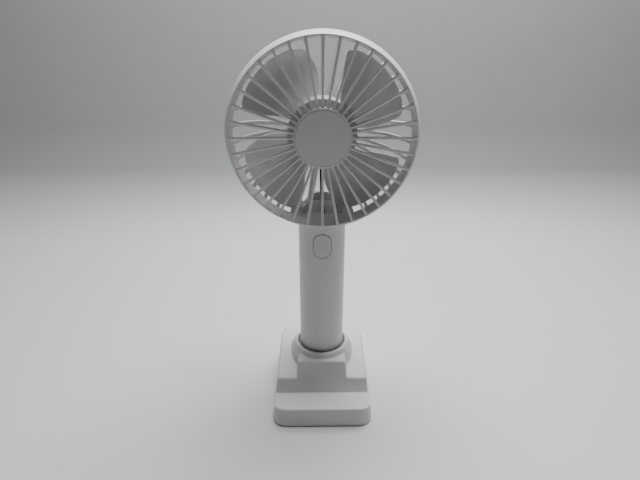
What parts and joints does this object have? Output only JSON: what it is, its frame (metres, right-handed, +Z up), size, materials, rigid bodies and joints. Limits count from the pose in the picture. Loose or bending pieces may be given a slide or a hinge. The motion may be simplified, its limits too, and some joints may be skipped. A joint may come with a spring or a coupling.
{
  "type": "handheld electric fan",
  "caption": "Round-headed handheld electric fan with a straight handle, standing in a base that is also a phone stand.",
  "frame": {"origin": "centre of the base's footprint, on the ground", "axes": "+Z up along the handle, front of the fan towards -Y, +X to the right seen from the front"},
  "size_m": [0.1066, 0.0739, 0.2213],
  "materials": {
    "white_plastic": "fine moulded satin white",
    "base_plastic": "plain moulded white",
    "foot_rubber": "soft grey rubber",
    "screw_steel": "zinc-plated steel",
    "pad_foam": "dense foam",
    "inner_plastic": "natural moulded plastic",
    "cell_wrap": "shrink wrap",
    "nickel": "nickel strip",
    "lead_black": "black insulated wire",
    "board_green": "solder-masked glass fibre",
    "chip_black": "moulded black",
    "led_lens": "clear resin",
    "button_plastic": "satin white",
    "port_steel": "stainless shell",
    "badge_plastic": "satin white disc",
    "can_steel": "zinc-plated drawn steel",
    "bush_bronze": "sintered bronze",
    "magnet_ferrite": "ferrite",
    "brush_carbon": "copper carbon",
    "terminal_brass": "tinned brass",
    "blade_plastic": "white ABS, slightly greyer than the shell",
    "shaft_steel": "ground steel",
    "commutator_copper": "copper segments",
    "core_steel": "laminated steel",
    "winding_copper": "enamelled copper wire"
  },
  "bodies": {
    "stand": {"base_shell": "white_plastic", "base_bottom_plate": "base_plastic", "base_feet": "foot_rubber", "base_screws": "screw_steel"},
    "turning_pad": {"socket_pad": "pad_foam"},
    "button": {"power_button": "button_plastic", "tact_plunger": "chip_black"},
    "spinner": {"impeller": "blade_plastic", "motor_shaft": "shaft_steel", "commutator": "commutator_copper", "rotor_core": "core_steel", "rotor_windings": "winding_copper"},
    "fan": {"handle_tube": "white_plastic", "handle_end_cap": "white_plastic", "inner_carrier": "inner_plastic", "battery_cell": "cell_wrap", "battery_tabs": "nickel", "battery_leads": "lead_black", "control_board": "board_green", "board_chips": "chip_black", "board_screws": "screw_steel", "indicator_led": "led_lens", "tact_switch": "chip_black", "charge_board": "board_green", "charge_port": "port_steel", "port_tongue": "chip_black", "rear_shell": "white_plastic", "neck_screws": "screw_steel", "front_guard": "white_plastic", "guard_badge": "badge_plastic", "motor_can": "can_steel", "front_bush": "bush_bronze", "rear_bush": "bush_bronze", "motor_end_bell": "inner_plastic", "motor_magnets": "magnet_ferrite", "motor_brushes": "brush_carbon", "motor_terminals": "terminal_brass", "motor_lead": "lead_black"}
  },
  "joints": [
    {"name": "fan_swivel", "type": "hinge", "parent": "stand", "child": "turning_pad", "pos_m": [0, 0.015, 0.004], "axis": [0, 0, 1], "continuous": true},
    {"name": "fan_lift", "type": "slide", "parent": "turning_pad", "child": "fan", "axis": [0, 0, 1], "range_m": [0, 0.045]},
    {"name": "button_press", "type": "slide", "parent": "fan", "child": "button", "axis": [0, 1, 0], "range_m": [0, 0.0005], "stiffness_N_per_m": 1500},
    {"name": "impeller_spin", "type": "hinge", "parent": "fan", "child": "spinner", "pos_m": [0, 0.012, 0.168], "axis": [0, 1, 0], "continuous": true}
  ]
}
